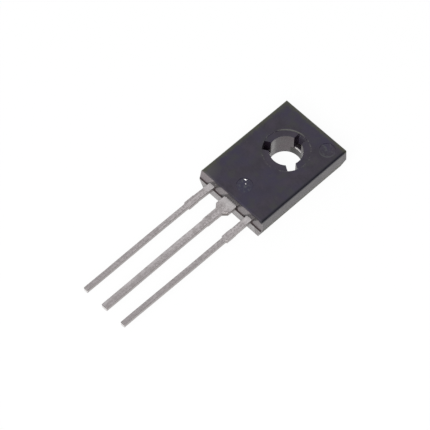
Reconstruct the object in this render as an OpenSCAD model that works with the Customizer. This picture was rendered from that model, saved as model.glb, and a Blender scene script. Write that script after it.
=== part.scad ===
// Three-lead power transistor in a flat moulded case with a fixing hole.
// Origin: centre of the fixing hole, on the mounting (back) face.
// +Z points out of the plain front face, the leads run along -Y.

/* [Moulded case] */
// Width of the front face
face_w = 7.46; // [7:0.02:8]
// Length of the front face
face_l = 10.58; // [10:0.02:11.2]
// Thickness of the case, mounting face to front face
case_t = 2.56; // [2.45:0.01:3]
// Distance from the hole's centre to the end edge of the front face
hole_to_end = 3.84; // [3.4:0.02:4.2]
// Height of the mould's parting plane above the mounting face
part_z = 1.36; // [1.2:0.02:1.6]
// Draft of the front half's walls, in degrees
front_draft = 3.5; // [1:0.5:8]
// Draft of the front half's wall on the lead side, in degrees
lead_front_draft = 6; // [1:0.5:10]
// Draft of the back half's walls, in degrees
back_draft = 15; // [3:0.5:18]
// Draft of the back half's wall on the lead side, in degrees
lead_back_draft = 6; // [2:0.5:12]
// Width of the ledge that the back half leaves on the lead side
ledge_w = 0.1; // [0.04:0.01:0.3]
// Radius along the front face's edges
edge_r = 0.2; // [0.06:0.02:0.3]
// Radius of the upright corners, at the parting plane
corner_r = 0.14; // [0.1:0.02:0.3]
// Radius of the softer corner beside the corner ejector mark
soft_corner_r = 0.28; // [0.1:0.02:0.4]

/* [Fixing hole] */
// Diameter of the fixing hole
hole_d = 3.05; // [2.9:0.01:3.2]
// Width of the three holding-pin notches
notch_w = 0.9; // [0.6:0.05:1.1]
// Diameter of the round mould insert, and of the notches' outer ends
insert_d = 4.3; // [3.95:0.05:4.6]
// Depth of the witness step that the insert leaves in the front face
witness_depth = 0.03; // [0.01:0.01:0.08]

/* [Ejector marks] */
// Diameter of the two ejector marks
ejector_d = 1.5; // [1:0.1:1.8]
// Depth of the ejector marks
ejector_depth = 0.03; // [0.02:0.01:0.1]
// Distance of the middle ejector mark from the lead side edge
ejector_in = 1.6; // [1.2:0.1:2]
// Distance of the corner ejector mark from the end edge and the long edge
ejector_corner = 1.24; // [1.1:0.02:1.6]

/* [Collector plate] */
// Thickness of the collector plate
plate_t = 0.9; // [0.75:0.01:1]
// Width of the collector plate
plate_w = 5.8; // [5.4:0.1:6.1]
// Length of the collector plate
plate_l = 7.9; // [7.7:0.1:8.2]
// Distance from the hole's centre to the plate's far end
plate_to_end = 3; // [2.6:0.05:3.1]
// Diameter of the plate's hole, lined by the moulding
plate_hole_d = 3.7; // [3.5:0.05:3.9]
// Width of the locking step round the plate's back face
lock_w = 0.3; // [0.15:0.05:0.4]
// Height of the locking step
lock_h = 0.42; // [0.3:0.02:0.44]
// Rise angle of the strip from the plate up to the leads, in degrees
rise_angle = 52; // [45:1:60]

/* [Leads] */
// Distance between neighbouring leads
pitch = 2.3; // [2.2:0.01:2.4]
// Thickness of the leads
lead_t = 0.46; // [0.38:0.02:0.5]
// Length of the leads from the lead side edge
lead_l = 15.03; // [12:0.01:17]
// Length of the leads' wide part, up to the cut dam bar
shoulder_l = 3.1; // [2.6:0.05:4]
// Length of the cut dam bar's remains on the outer leads
dam_l = 1.1; // [0.6:0.05:1.3]
// Width of the outer leads
outer_w = 0.43; // [0.38:0.01:0.55]
// Width of the outer leads' wide part
outer_root_w = 0.6; // [0.56:0.01:0.8]
// Width over the cut dam bar on the outer leads
outer_dam_w = 0.68; // [0.6:0.01:0.85]
// Width of the middle lead
middle_w = 0.62; // [0.5:0.01:0.7]
// Width of the middle lead's wide part
middle_root_w = 0.75; // [0.7:0.01:0.9]
// Width of the middle lead's strip at the case
middle_neck_w = 1.5; // [1.2:0.05:1.7]
// Length of that strip from the lead side edge
middle_neck_l = 1.1; // [0.7:0.05:1.4]
// Length over which the strip narrows
middle_taper_l = 0.4; // [0.2:0.05:0.6]
// Width of the bonding posts inside the case
post_w = 1.4; // [1.1:0.05:1.5]
// Length of the bonding posts
post_l = 1.3; // [1:0.05:1.4]
// Distance of the bonding posts from the lead side edge
post_in = 0.3; // [0.2:0.05:0.4]

/* [Die and bond wires] */
// Side of the square silicon die
die_w = 1.4; // [1:0.1:1.6]
// Thickness of the silicon die
die_t = 0.25; // [0.2:0.01:0.3]
// Thickness of the solder under the die
solder_t = 0.05; // [0.03:0.01:0.08]
// Distance from the die's edge to the plate's lead end
die_in = 0.65; // [0.5:0.05:0.8]
// Diameter of the bond wires
wire_d = 0.2; // [0.12:0.01:0.25]
// Distance of each bond from the die's centre line
bond_x = 0.4; // [0.3:0.05:0.45]
// Height of the wires' loops above the mounting face
loop_z = 2.18; // [2.14:0.01:2.24]
// Bend radius of the bond wires
wire_bend_r = 0.22; // [0.16:0.01:0.24]

/* [Hidden] */
$fn = 96;

// How far cutting shapes run past the faces that they cut
over = 1;
// How far the round corners stand past the drafted walls that cut them
trim_gap = 0.01;
// How far the round corners run past the front face
corner_over = 0.1;

front_h = case_t - part_z;
front_growth = front_h * tan(front_draft);
lead_growth = front_h * tan(lead_front_draft) + ledge_w;
end_y = hole_to_end;
lead_side_y = end_y - face_l;
face_y = (end_y + lead_side_y) / 2;

lead_z = part_z;
lead_top = lead_z + lead_t;
tip_y = lead_side_y - lead_l;
post_y = lead_side_y + post_in;

plate_y0 = plate_to_end - plate_l;
rise = lead_z - (plate_t - lead_t);
rise_run = rise / tan(rise_angle);
rise_y = plate_y0;

die_y = plate_y0 + die_in + die_w / 2;
die_top = plate_t + solder_t + die_t;
bond_y = die_y - die_w / 5;
post_bond_y = post_y + post_l / 2;

case_color = [0.16, 0.155, 0.19];
tin_color = [0.72, 0.70, 0.70];
silicon_color = [0.30, 0.31, 0.36];
solder_color = [0.62, 0.62, 0.64];
wire_color = [0.85, 0.85, 0.86];

// A symmetric outline from the points of its right half
function both_sides(right) = concat(
    right,
    [for (i = [len(right) - 1:-1:0]) [-right[i][0], right[i][1]]]
);

// Centre distance of an edge round from a drafted wall's top edge
function round_in(r, draft) = r * tan(45 - draft / 2);

// Section of the case across one direction, from low to high:
// the back half tapers to the mounting face, the front half to the front face,
// and the front face's two edges are rounded.
// Each draft is a pair of angles, for the low and the high side.
module section(low, high, ledge, front, back) {
    low_in = low + round_in(edge_r, front[0]);
    high_in = high - round_in(edge_r, front[1]);
    low_part = low - front_h * tan(front[0]);
    high_part = high + front_h * tan(front[1]);
    round_z = case_t - edge_r;
    polygon([
        [low_part - ledge + part_z * tan(back[0]), 0],
        [high_part - part_z * tan(back[1]), 0],
        [high_part, part_z],
        [high_in + edge_r * cos(front[1]), round_z + edge_r * sin(front[1])],
        [high_in, case_t],
        [low_in, case_t],
        [low_in - edge_r * cos(front[0]), round_z + edge_r * sin(front[0])],
        [low_part, part_z],
        [low_part - ledge, part_z]
    ]);
    for (x = [low_in, high_in])
        translate([x, round_z]) circle(r = edge_r);
}

// Section across the case, the same along its whole length
module long_walls() {
    translate([0, face_y, 0]) rotate([90, 0, 0])
        linear_extrude(height = 2 * face_l, center = true)
            section(
                -face_w / 2, face_w / 2, 0,
                [front_draft, front_draft], [back_draft, back_draft]
            );
}

// Section along the case, the same over its whole width
module end_walls() {
    rotate([90, 0, 90])
        linear_extrude(height = 2 * face_w, center = true)
            section(
                lead_side_y, end_y, ledge_w,
                [lead_front_draft, front_draft], [lead_back_draft, back_draft]
            );
}

// One upright corner, of radius r at the parting plane:
// upright in the back half, drafted like the walls in the front half
module round_corner(r) {
    outer = r + trim_gap;
    height = front_h + corner_over;
    translate([0, 0, -over]) cylinder(r = outer, h = part_z + over);
    translate([0, 0, part_z])
        cylinder(r1 = outer, r2 = outer - height * tan(front_draft), h = height);
}

// Block with a square cut out of each corner and a round one set in its place
module corner_trimmer() {
    x1 = face_w / 2 + front_growth;
    y1 = end_y + front_growth;
    y0 = lead_side_y - lead_growth;
    r = corner_r;
    s = soft_corner_r;
    translate([0, 0, -over]) linear_extrude(height = case_t + 2 * over)
        polygon([
            [-x1 - over, y0 + r], [-x1 + r, y0 + r], [-x1 + r, y0 - over],
            [x1 - r, y0 - over], [x1 - r, y0 + r], [x1 + over, y0 + r],
            [x1 + over, y1 - s], [x1 - s, y1 - s], [x1 - s, y1 + over],
            [-x1 + r, y1 + over], [-x1 + r, y1 - r], [-x1 - over, y1 - r]
        ]);
    for (p = [[-x1 + r, y0 + r], [x1 - r, y0 + r], [-x1 + r, y1 - r]])
        translate(p) round_corner(r);
    translate([x1 - s, y1 - s]) round_corner(s);
}

// Fixing hole, the three notches left by the holding pins,
// and the round step that the mould insert leaves in the front face
module fixing_hole() {
    translate([0, 0, -over]) cylinder(d = hole_d, h = case_t + 2 * over);
    for (turn = [90, 210, 330])
        intersection() {
            translate([0, 0, plate_t]) cylinder(d = insert_d, h = case_t);
            rotate([0, 0, turn]) translate([0, -notch_w / 2, plate_t])
                cube([insert_d, notch_w, case_t]);
        }
    translate([0, 0, case_t - witness_depth]) cylinder(d = insert_d, h = over);
}

// Shallow round marks left by the ejector pins
module ejector_marks() {
    places = [
        [0, lead_side_y + ejector_in],
        [face_w / 2 - ejector_corner, end_y - ejector_corner]
    ];
    for (p = places)
        translate([p[0], p[1], case_t - ejector_depth])
            cylinder(d = ejector_d, h = over);
}

module epoxy_case() {
    color(case_color) difference() {
        intersection() {
            long_walls();
            end_walls();
            corner_trimmer();
        }
        fixing_hole();
        ejector_marks();
        collector_leadframe();
        emitter_lead();
        base_lead();
        silicon_die();
        die_solder();
        emitter_bond_wire();
        base_bond_wire();
    }
}

// Plate that carries the die, with a narrower back face that locks it in
module plate() {
    difference() {
        union() {
            translate([-plate_w / 2, plate_y0, lock_h])
                cube([plate_w, plate_l, plate_t - lock_h]);
            translate([-plate_w / 2 + lock_w, plate_y0 + lock_w, 0])
                cube([plate_w - 2 * lock_w, plate_l - 2 * lock_w, plate_t]);
        }
        translate([0, 0, -over]) cylinder(d = plate_hole_d, h = plate_t + 2 * over);
    }
}

// Side view of the strip that rises from the plate to the lead's level
module rise_profile() {
    back = plate_t - lead_t;
    shift = lead_t * tan(rise_angle / 2);
    start = plate_y0 + lock_w;
    polygon([
        [start, back], [start, plate_t],
        [rise_y, plate_t],
        [rise_y - rise_run, lead_top],
        [tip_y, lead_top], [tip_y, lead_z],
        [rise_y - shift - rise_run, lead_z],
        [rise_y - shift, back]
    ]);
}

// Outline of the middle lead, seen from the front
module middle_outline() {
    neck_y = lead_side_y - middle_neck_l;
    root_y = neck_y - middle_taper_l;
    step_y = lead_side_y - shoulder_l;
    polygon(both_sides([
        [middle_neck_w / 2, plate_y0 + lock_w],
        [middle_neck_w / 2, neck_y], [middle_root_w / 2, root_y],
        [middle_root_w / 2, step_y], [middle_w / 2, step_y],
        [middle_w / 2, tip_y]
    ]));
}

module collector_leadframe() {
    color(tin_color) {
        plate();
        intersection() {
            rotate([90, 0, 90])
                linear_extrude(height = 2 * middle_neck_w, center = true)
                    rise_profile();
            linear_extrude(height = case_t) middle_outline();
        }
    }
}

// Outline of an outer lead with its bonding post, centred on x = 0
module outer_outline() {
    dam_y = lead_side_y - shoulder_l + dam_l;
    step_y = lead_side_y - shoulder_l;
    polygon(both_sides([
        [post_w / 2, post_y + post_l],
        [post_w / 2, post_y], [outer_root_w / 2, post_y],
        [outer_root_w / 2, dam_y], [outer_dam_w / 2, dam_y],
        [outer_dam_w / 2, step_y], [outer_w / 2, step_y],
        [outer_w / 2, tip_y]
    ]));
}

module outer_lead(x) {
    color(tin_color) translate([x, 0, lead_z])
        linear_extrude(height = lead_t) outer_outline();
}

module emitter_lead() outer_lead(-pitch);

module base_lead() outer_lead(pitch);

module silicon_die() {
    color(silicon_color) translate([-die_w / 2, die_y - die_w / 2, plate_t + solder_t])
        cube([die_w, die_w, die_t]);
}

module die_solder() {
    color(solder_color) translate([-die_w / 2, die_y - die_w / 2, plate_t])
        cube([die_w, die_w, solder_t]);
}

// Quarter bend of a wire in the XZ plane, from upright to level
module wire_bend() {
    rotate([90, 0, 0]) rotate_extrude(angle = 90)
        translate([wire_bend_r, 0]) circle(d = wire_d, $fn = 32);
}

// Bond wire from the die up, across and down onto a bonding post
module bond_wire(side) {
    from = [side * bond_x, bond_y];
    to = [side * pitch, post_bond_y];
    span = norm(to - from);
    leg_z = loop_z - wire_bend_r;
    heading = atan2(to[1] - from[1], to[0] - from[0]);
    color(wire_color) translate([from[0], from[1], 0]) rotate([0, 0, heading]) {
        translate([0, 0, die_top]) cylinder(d = wire_d, h = leg_z - die_top, $fn = 32);
        translate([wire_bend_r, 0, leg_z]) mirror([1, 0, 0]) wire_bend();
        translate([wire_bend_r, 0, loop_z]) rotate([0, 90, 0])
            cylinder(d = wire_d, h = span - 2 * wire_bend_r, $fn = 32);
        translate([span - wire_bend_r, 0, leg_z]) wire_bend();
        translate([span, 0, lead_top]) cylinder(d = wire_d, h = leg_z - lead_top, $fn = 32);
    }
}

module emitter_bond_wire() bond_wire(-1);

module base_bond_wire() bond_wire(1);

epoxy_case();
collector_leadframe();
emitter_lead();
base_lead();
silicon_die();
die_solder();
emitter_bond_wire();
base_bond_wire();
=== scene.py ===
"""Looks of a three-lead power transistor in a flat moulded case with a fixing hole."""

import math

import bpy
import numpy as np
from mathutils import Matrix, Vector


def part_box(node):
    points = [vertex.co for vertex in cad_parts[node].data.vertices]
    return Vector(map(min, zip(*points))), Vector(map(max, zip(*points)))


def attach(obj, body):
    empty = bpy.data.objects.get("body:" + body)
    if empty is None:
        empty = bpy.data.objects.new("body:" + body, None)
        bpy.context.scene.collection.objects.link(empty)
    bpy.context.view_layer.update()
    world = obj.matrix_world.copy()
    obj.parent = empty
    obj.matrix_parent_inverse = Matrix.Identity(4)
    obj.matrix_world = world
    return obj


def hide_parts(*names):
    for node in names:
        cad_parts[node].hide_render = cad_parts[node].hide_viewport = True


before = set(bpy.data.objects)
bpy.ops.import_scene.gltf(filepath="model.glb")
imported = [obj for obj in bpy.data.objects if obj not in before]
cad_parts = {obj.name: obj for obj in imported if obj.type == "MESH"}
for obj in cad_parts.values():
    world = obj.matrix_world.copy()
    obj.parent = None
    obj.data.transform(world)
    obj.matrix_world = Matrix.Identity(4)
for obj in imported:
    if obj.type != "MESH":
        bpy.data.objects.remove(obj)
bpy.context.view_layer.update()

MM = 0.001

# ---------------------------------------------------------------- sizes, in millimetres

CASE_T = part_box("epoxy_case")[1][2] / MM
LEAD_LOW, LEAD_HIGH = (np.array(corner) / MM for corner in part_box("emitter_lead"))
LEAD_T = LEAD_HIGH[2] - LEAD_LOW[2]
LEAD_Z = (LEAD_HIGH[2] + LEAD_LOW[2]) / 2
TIP_Y = LEAD_LOW[1]
PITCH = -(LEAD_LOW[0] + LEAD_HIGH[0]) / 2

LEAD_SIDE_Y = -6.74        # the front face's edge on the lead side
SHOULDER_L = 3.1           # wide part of the leads, from that edge
DAM_L = 1.1                # cut dam bar's remains on the outer leads
OUTER_W, OUTER_ROOT_W, OUTER_DAM_W = 0.465, 0.63, 0.72
MIDDLE_W, MIDDLE_ROOT_W, MIDDLE_NECK_W = 0.65, 0.775, 1.5
MIDDLE_NECK_L, MIDDLE_TAPER_L = 1.1, 0.4
EMITTER_BEND = (-0.068, -0.045)    # sideways set of each lead, at its neck and its tip
COLLECTOR_BEND = (-0.055, -0.018)
BASE_BEND = (0.0, -0.058)
POST_W, POST_L, POST_IN = 1.4, 1.3, 0.3    # bonding post, and how deep in the case it starts
EMITTER_SEED, BASE_SEED, COLLECTOR_SEED = 11, 17, 29

PLATE_T, PLATE_W, PLATE_L, PLATE_TO_END = 0.9, 5.8, 7.9, 3.0
PLATE_HOLE_R = 1.85
LOCK_W, LOCK_H = 0.3, 0.42
HOLE_ROLL, EDGE_CUT, BACK_CUT = 0.03, 0.04, 0.02   # broken edges of the plate
RISE_ANGLE = math.radians(52)

RING_R, RING_REACH = 2.17, 0.09    # the step that the mould's insert leaves round the hole
CASE_HALF_W, CASE_END_Y = 3.73, 3.84
PARTING_Z = 1.36
EJECTOR_R = 0.75
MARK_FLOOR_Z = CASE_T - 0.03
MIDDLE_MARK = (0.0, -5.14)
CORNER_MARK = (2.49, 2.60)

# ---------------------------------------------------------------- camera

CAMERA_AZIMUTH, CAMERA_ELEVATION, CAMERA_ROLL = 44.694, 59.546, 1.185   # degrees
CAMERA_DISTANCE = 185.1    # mm
CAMERA_FOCAL_PX = 2114.9   # focal length in pixels of the 430 px frame
CAMERA_AIM = (-0.691, -8.025, 0.0)   # mm
CAMERA_CLIP_NEAR, CAMERA_CLIP_FAR = 0.005, 5.0   # metres
FRAME_PX = 430
SENSOR_MM = 36.0


def place_camera():
    """A camera that looks at CAMERA_AIM from the given azimuth, elevation and roll."""
    az, el, roll = (math.radians(v) for v in (CAMERA_AZIMUTH, CAMERA_ELEVATION, CAMERA_ROLL))
    back = Vector((math.sin(az) * math.cos(el), -math.cos(az) * math.cos(el), math.sin(el)))
    right = Vector((math.cos(az), math.sin(az), 0.0))
    up = back.cross(right)
    right_rolled = math.cos(roll) * right + math.sin(roll) * up
    up_rolled = -math.sin(roll) * right + math.cos(roll) * up
    turn = Matrix((right_rolled, up_rolled, back)).transposed()
    data = bpy.data.cameras.new("camera")
    data.sensor_width = SENSOR_MM
    data.lens = CAMERA_FOCAL_PX / FRAME_PX * SENSOR_MM
    data.clip_start, data.clip_end = CAMERA_CLIP_NEAR, CAMERA_CLIP_FAR
    camera = bpy.data.objects.new("camera", data)
    bpy.context.scene.collection.objects.link(camera)
    position = (Vector(CAMERA_AIM) + back * CAMERA_DISTANCE) * MM
    camera.matrix_world = Matrix.Translation(position) @ turn.to_4x4()
    bpy.context.scene.camera = camera


# ---------------------------------------------------------------- meshes

CORNER_POINTS = 6                          # points on each round corner of a section
NOISE_WAVES = np.array([1.0, 2.3, 4.1, 7.7])
NOISE_HEIGHTS = [0.5, 0.25, 0.15, 0.1]


def add_mesh(name, points, faces, material):
    """A smooth mesh object at the origin from points in millimetres and a list of faces."""
    mesh = bpy.data.meshes.new(name)
    mesh.from_pydata((np.asarray(points, float) * MM).tolist(), [], [list(f) for f in faces])
    mesh.validate()
    mesh.polygons.foreach_set("use_smooth", [True] * len(mesh.polygons))
    mesh.materials.append(material)
    made = bpy.data.objects.new(name, mesh)
    bpy.context.scene.collection.objects.link(made)
    return made


def grid_faces(rows, columns, close_rows=False):
    """Quads of a grid of rows x columns points, closed round its columns, and its rows on request."""
    r = np.arange(rows if close_rows else rows - 1)[:, None]
    c = np.arange(columns)[None, :]
    r2, c2 = (r + 1) % rows, (c + 1) % columns
    quads = np.stack([r * columns + c, r * columns + c2, r2 * columns + c2, r2 * columns + c], -1)
    return quads.reshape(-1, 4)


def rounded_section(half_w, half_t, r):
    """A rectangle with round corners: corner centres at (half - r), plus r times a unit circle.

    half_w, half_t and r may be arrays over the path; the result has one row of points each."""
    quarter = np.linspace(0, math.pi / 2, CORNER_POINTS)
    angle = np.concatenate([quarter + q * math.pi / 2 for q in range(4)])
    sign_x = np.repeat([1, -1, -1, 1], CORNER_POINTS)
    sign_z = np.repeat([1, 1, -1, -1], CORNER_POINTS)
    half_w, half_t, r = (np.atleast_1d(v)[:, None] for v in (half_w, half_t, r))
    across = (half_w - r) * sign_x + r * np.cos(angle)
    height = (half_t - r) * sign_z + r * np.sin(angle)
    return across, height


def smooth_noise(x, seed, scale):
    """A sum of four sines of x with random phases, between about -1 and 1."""
    draw = np.random.default_rng(seed)
    phase = draw.uniform(0, 2 * math.pi, len(NOISE_WAVES))
    return (np.sin(x[..., None] * (NOISE_WAVES / scale) + phase) * NOISE_HEIGHTS).sum(-1)


def tube_with_ends(rings):
    """A closed surface from rings of points (stations x points x 3) with a pole at each end.

    The rings run along the piece; each end is closed by triangles round its ring's mean point."""
    stations, around, _ = rings.shape
    points = np.concatenate([rings.reshape(-1, 3), rings[:1].mean(1), rings[-1:].mean(1)])
    quads = grid_faces(stations, around)
    k = np.arange(around)
    k2 = (k + 1) % around
    first = np.stack([k2, k, np.full(around, stations * around)], -1)
    last_ring = (stations - 1) * around
    last = np.stack([last_ring + k, last_ring + k2, np.full(around, stations * around + 1)], -1)
    return points, quads.tolist() + first.tolist() + last.tolist()


def stack_shells(*shells):
    """Several closed surfaces as one list of points and faces."""
    points, faces, start = [], [], 0
    for shell_points, shell_faces in shells:
        points.append(shell_points)
        faces += [[i + start for i in face] for face in shell_faces]
        start += len(shell_points)
    return np.concatenate(points), faces


def outward(shell):
    """The shell with its faces turned outwards, judged by its signed volume."""
    points, faces = shell
    tri = np.array([[f[0], f[i], f[i + 1]] for f in faces for i in range(1, len(f) - 1)])
    a, b, c = points[tri[:, 0]], points[tri[:, 1]], points[tri[:, 2]]
    volume = np.einsum("ij,ij->i", a, np.cross(b, c)).sum()
    return shell if volume > 0 else (points, [f[::-1] for f in faces])


# ---------------------------------------------------------------- leads, in millimetres

EDGE_ROLL = 0.0495                 # rounding that the stamping die leaves along a lead
TIP_ROUND, TIP_DRAW_IN = 0.06, 0.9   # the tip's rounding, and the share of it that is drawn in
ROOT_Y, ROOT_ROUND = -6.80, 0.14   # where the leads leave the wall, and their corners' rounding
ROOT_FADE = (ROOT_Y + 0.35, ROOT_Y + 0.25)   # further inside, the strip is at full width
OUTER_ROOT_SHARE = 0.5             # share of that rounding on the outer leads
STEP_RUN, POST_RUN = 0.05, 0.01    # length over which a lead's width changes at a step
FACE_INSET = 0.004                 # keeps a lead's flat faces inside LEAD_T
WANDER, WANDER_L = 0.006, 1.7      # sideways, and the scale of its waves
SHEAR_RUN, SHEAR_L = 0.1, 0.14     # the rough sheared edge: its ends and its grain
OUTER_SHEAR, MIDDLE_SHEAR = 0.010, 0.008
MIDDLE_SHEAR_FROM = 0.5            # past the middle lead's taper
NECK_LEAN, SHANK_LEAN = 2.4, 5.5   # from the case: the neck's set is whole, the shank's begins
TIP_LEAN = 1.0                     # from the tip: the shank's set is whole

STATION_GAP = 0.06                 # distance between sections on the shaped part
SHANK_GAP = 0.25                   # the same on the plain shank
SHAPED_PAST = 0.4                  # the close sections reach this far past the shoulder
SHANK_STOP = 0.2                   # and the wide ones end this far from the tip
NEAR_TIP = 0.12                    # length of the close sections before the tip's rounding
ROOT_SECTIONS, NEAR_TIP_SECTIONS, TIP_SECTIONS = 8, 4, 6


def ramp(y, start, end):
    """0 before start and 1 past end, smooth between, along the decreasing y of a lead."""
    t = np.clip((start - y) / (start - end), 0.0, 1.0)
    return t * t * (3 - 2 * t)


def quarter_sines(count):
    """The sines of count angles, evenly spaced from 0 to a right angle."""
    return np.sin(np.linspace(0, math.pi / 2, count))


def stations_along(y_start, y_end):
    """Section places from y_start down to y_end, close together on the shaped part and tip."""
    shaped_end = LEAD_SIDE_Y - SHOULDER_L - SHAPED_PAST
    even = np.arange(y_start, shaped_end, -STATION_GAP)
    at_root = ROOT_Y - ROOT_ROUND * (1 - quarter_sines(ROOT_SECTIONS))
    shaped = np.unique(np.concatenate([even, at_root]))[::-1]
    shank = np.arange(shaped_end, y_end + SHANK_STOP, -SHANK_GAP)
    near_tip = y_end + TIP_ROUND + np.linspace(NEAR_TIP, 0, NEAR_TIP_SECTIONS)
    tip = y_end + TIP_ROUND * (1 - quarter_sines(TIP_SECTIONS)[1:])
    return np.concatenate([shaped, shank, near_tip, tip])


def quarter_circle(run, radius):
    """How far a round corner of that radius draws in, at the share run (0 to 1) of its length."""
    return radius * (1 - np.sqrt(1 - np.clip(run, 0.0, 1.0) ** 2))


def tip_shrink(y, y_end):
    """How much each section draws in near the tip: most of the quarter circle of TIP_ROUND."""
    return quarter_circle(1 - (y - y_end) / TIP_ROUND, TIP_ROUND) * TIP_DRAW_IN


def root_rounding(y):
    """How far a lead's width draws in at the wall: a quarter circle of ROOT_ROUND, none deep inside."""
    return quarter_circle((y - ROOT_Y) / ROOT_ROUND + 1, ROOT_ROUND) * ramp(y, *ROOT_FADE)


def lean(y, at_neck, at_tip):
    """Sideways set of a slightly bent lead: none at the case, at_neck past the root, at_tip last."""
    from_root = ramp(y, LEAD_SIDE_Y, LEAD_SIDE_Y - NECK_LEAN)
    from_neck = ramp(y, LEAD_SIDE_Y - SHANK_LEAN, TIP_Y + TIP_LEAN)
    return at_neck * from_root + (at_tip - at_neck) * from_neck


def lead_rings(x0, y, half_w, z, seed, bend):
    """Rounded rectangles of half width half_w about (x0, y, z), drawn in at the tip.

    The strip leans by bend, a pair for the neck and the tip, wanders sideways by a few
    microns, and its faces stay inside LEAD_T."""
    draw_in = tip_shrink(y, TIP_Y)
    half_t = LEAD_T / 2 - FACE_INSET - draw_in
    across, height = rounded_section(half_w - draw_in, half_t, np.full(len(y), EDGE_ROLL))
    wander = WANDER * smooth_noise(y, seed, WANDER_L)[:, None]
    x = x0 + across + wander + lean(y, *bend)[:, None]
    ys = np.broadcast_to(y[:, None], across.shape)
    return np.stack([x, ys, z[:, None] + height], -1)


def sheared_edge(y, seed, start, end, roughness):
    """Unevenness of a lead's width where it was sheared, from start to end: never outwards."""
    along = ramp(y, start, start - SHEAR_RUN) * (1 - ramp(y, end, end - SHEAR_RUN))
    return roughness * along * (smooth_noise(y, seed, SHEAR_L) - 1)


def outer_lead_half_width(y, seed):
    """Bonding post, then root, cut dam bar and shank, each blended into the next."""
    post_end = LEAD_SIDE_Y + POST_IN
    dam_start = LEAD_SIDE_Y - SHOULDER_L + DAM_L
    dam_end = LEAD_SIDE_Y - SHOULDER_L
    width = POST_W + (OUTER_ROOT_W - POST_W) * ramp(y, post_end + POST_RUN, post_end - POST_RUN)
    width += (OUTER_DAM_W - OUTER_ROOT_W) * ramp(y, dam_start, dam_start - STEP_RUN)
    width += (OUTER_W - OUTER_DAM_W) * ramp(y, dam_end, dam_end - STEP_RUN)
    sheared = sheared_edge(y, seed, dam_start, dam_end, OUTER_SHEAR)
    return width / 2 + sheared - OUTER_ROOT_SHARE * root_rounding(y)


def outer_lead(name, x0, seed, bend, finish):
    """An outer lead: a flat strip from its bonding post in the case to the sheared tip."""
    y = stations_along(LEAD_SIDE_Y + POST_IN + POST_L, TIP_Y)
    half_w = outer_lead_half_width(y, seed)
    rings = lead_rings(x0, y, half_w, np.full(len(y), LEAD_Z), seed, bend)
    piece = add_mesh(name, *outward(tube_with_ends(rings)), finish)
    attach(piece, "root")
    return piece


# ---------------------------------------------------------------- collector plate and middle lead

PLATE_TURNS = 180                  # places round the hole where the plate's section stands
TINY = 1e-9
SHARP_ANGLE = math.radians(35)


def plate_outline(angle, inset):
    """Distance from the hole's centre to the plate's edge, a rectangle drawn in by inset."""
    cosine, sine = np.cos(angle), np.sin(angle)
    to_side = (PLATE_W / 2 - inset) / np.maximum(np.abs(cosine), TINY)
    reach_y = np.where(sine > 0, PLATE_TO_END - inset, PLATE_L - PLATE_TO_END - inset)
    to_end = reach_y / np.maximum(np.abs(sine), TINY)
    return np.minimum(to_side, to_end)


def plate_shell():
    """The plate as a ring round its hole: the hole's wall, top, edge, locking step and back.

    One parameter runs round the hole, the other round the section of the ring."""
    corners = [math.atan2(sy, sx) for sx in (-PLATE_W / 2, PLATE_W / 2)
               for sy in (-(PLATE_L - PLATE_TO_END), PLATE_TO_END)]
    turns = np.linspace(-math.pi, math.pi, PLATE_TURNS, endpoint=False)
    angle = np.sort(np.concatenate([turns, corners]))
    edge = plate_outline(angle, 0.0)
    edge_in = plate_outline(angle, EDGE_CUT)
    lock = plate_outline(angle, LOCK_W)
    lock_in = plate_outline(angle, LOCK_W + BACK_CUT)
    hole = np.full_like(angle, PLATE_HOLE_R)
    section = [
        (hole + HOLE_ROLL, 0.0), (hole, HOLE_ROLL),
        (hole, PLATE_T - HOLE_ROLL), (hole + HOLE_ROLL, PLATE_T),
        (edge_in, PLATE_T), (edge, PLATE_T - EDGE_CUT),
        (edge, LOCK_H), (lock, LOCK_H),
        (lock, BACK_CUT), (lock_in, 0.0),
    ]
    radius = np.stack([r for r, _ in section], 1)
    height = np.array([z for _, z in section])[None, :] + np.zeros_like(radius)
    x = radius * np.cos(angle)[:, None]
    y = radius * np.sin(angle)[:, None]
    points = np.stack([x, y, height], -1).reshape(-1, 3)
    return points, grid_faces(len(angle), len(section), close_rows=True).tolist()


def middle_lead_half_width(y, seed):
    """Neck at the case, its taper, the root and then the shank."""
    neck_end = LEAD_SIDE_Y - MIDDLE_NECK_L
    root_start = neck_end - MIDDLE_TAPER_L
    root_end = LEAD_SIDE_Y - SHOULDER_L
    taper = np.clip((neck_end - y) / (neck_end - root_start), 0.0, 1.0)
    width = MIDDLE_NECK_W + (MIDDLE_ROOT_W - MIDDLE_NECK_W) * taper
    width += (MIDDLE_W - MIDDLE_ROOT_W) * ramp(y, root_end, root_end - STEP_RUN)
    sheared = sheared_edge(y, seed, root_start - MIDDLE_SHEAR_FROM, root_end, MIDDLE_SHEAR)
    return width / 2 + sheared - root_rounding(y)


def rise_height(y):
    """Middle height of the strip: level on the plate, up the rise, level with the leads."""
    low = PLATE_T - LEAD_T / 2
    foot = -(PLATE_L - PLATE_TO_END)
    run = (LEAD_Z - low) / math.tan(RISE_ANGLE)
    t = np.clip((foot - y) / run, 0.0, 1.0)
    return low + (LEAD_Z - low) * t


def middle_lead_shell(seed):
    """The strip from the plate up the rise and out to the tip, as one swept section."""
    y = stations_along(-(PLATE_L - PLATE_TO_END) + LOCK_W, TIP_Y)
    half_w = middle_lead_half_width(y, seed)
    rings = lead_rings(0.0, y, half_w, rise_height(y), seed, COLLECTOR_BEND)
    return tube_with_ends(rings)


def collector(name, finish):
    """The collector's plate and middle lead in one piece."""
    shell = stack_shells(outward(plate_shell()), outward(middle_lead_shell(COLLECTOR_SEED)))
    piece = add_mesh(name, *shell, finish)
    piece.data.set_sharp_from_angle(angle=SHARP_ANGLE)
    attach(piece, "root")
    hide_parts("collector_leadframe")
    return piece


# ---------------------------------------------------------------- small marks on the case

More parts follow.
